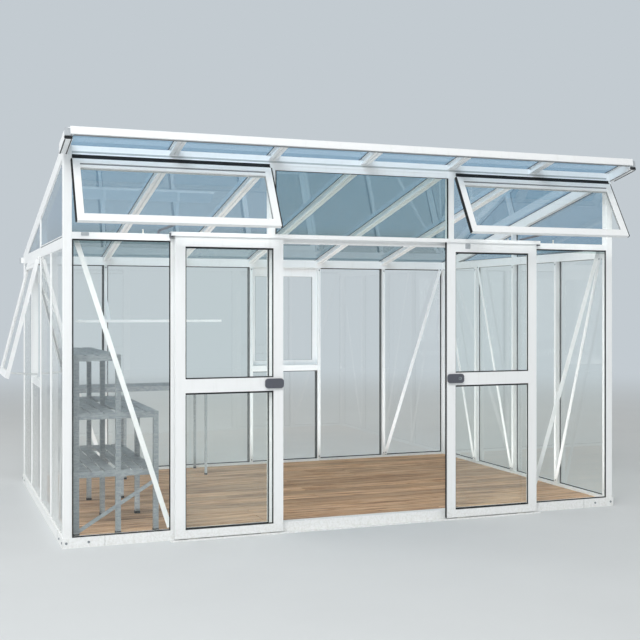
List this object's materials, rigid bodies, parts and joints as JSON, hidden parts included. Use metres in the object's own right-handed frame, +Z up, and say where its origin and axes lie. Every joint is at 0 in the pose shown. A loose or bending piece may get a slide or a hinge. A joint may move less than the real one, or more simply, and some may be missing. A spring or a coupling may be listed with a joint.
{
  "type": "glass greenhouse",
  "caption": "White aluminium greenhouse with sloping glass roof, sliding double doors, top-hung vents, side and back windows and a boarded floor",
  "frame": {"origin": "middle of the floor plan, on the ground", "axes": "+X along the front to the right, -Y out of the front, +Z up"},
  "size_m": [4.0233, 2.8901, 2.3989],
  "materials": {
    "white_frame": "satin white powder coat",
    "clear_glass": "clear, polished",
    "deck_wood": "weathered boards",
    "bare_aluminium": "mill finish, dulled",
    "dark_fittings": "satin",
    "runner_nylon": "matte",
    "seal_rubber": "matte"
  },
  "bodies": {
    "house": {"base_corners": "white_frame", "base_front": "white_frame", "base_back": "white_frame", "base_left": "white_frame", "base_right": "white_frame", "corner_posts": "white_frame", "front_transom": "white_frame", "front_header": "white_frame", "front_posts": "white_frame", "front_bars": "white_frame", "back_eave_beam": "white_frame", "back_bars": "white_frame", "left_rail": "white_frame", "right_rail": "white_frame", "left_gable_rail": "white_frame", "right_gable_rail": "white_frame", "left_bars": "white_frame", "right_bars": "white_frame", "back_gutter": "white_frame", "downpipe": "white_frame", "roof_bars": "white_frame", "roof_verges": "white_frame", "roof_fascia": "white_frame", "front_braces": "white_frame", "back_braces": "white_frame", "left_braces": "white_frame", "right_braces": "white_frame", "window_sills": "white_frame", "left_vent": "white_frame", "right_vent": "white_frame", "back_window": "white_frame", "left_window": "white_frame", "door_track": "white_frame", "door_guide": "white_frame", "wall_shelf": "white_frame", "front_glass": "clear_glass", "left_glass": "clear_glass", "right_glass": "clear_glass", "back_glass": "clear_glass", "roof_glass": "clear_glass", "leaf_glass": "clear_glass", "floor_bearers": "deck_wood", "floor_deck": "deck_wood", "staging_frame": "bare_aluminium", "staging_slats": "bare_aluminium", "leaf_stays": "dark_fittings"},
    "left_leaf": {"left_door": "white_frame", "left_door_glass": "clear_glass", "left_door_lock": "dark_fittings", "left_door_runners": "runner_nylon"},
    "right_leaf": {"right_door": "white_frame", "right_door_glass": "clear_glass", "right_door_lock": "dark_fittings", "right_door_runners": "runner_nylon", "right_door_seal": "seal_rubber"}
  },
  "joints": [
    {"name": "left_door_slide", "type": "slide", "parent": "house", "child": "left_leaf", "axis": [1, 0, 0], "range_m": [0, 0.56]},
    {"name": "right_door_slide", "type": "slide", "parent": "house", "child": "right_leaf", "axis": [-1, 0, 0], "range_m": [0, 0.56]}
  ]
}
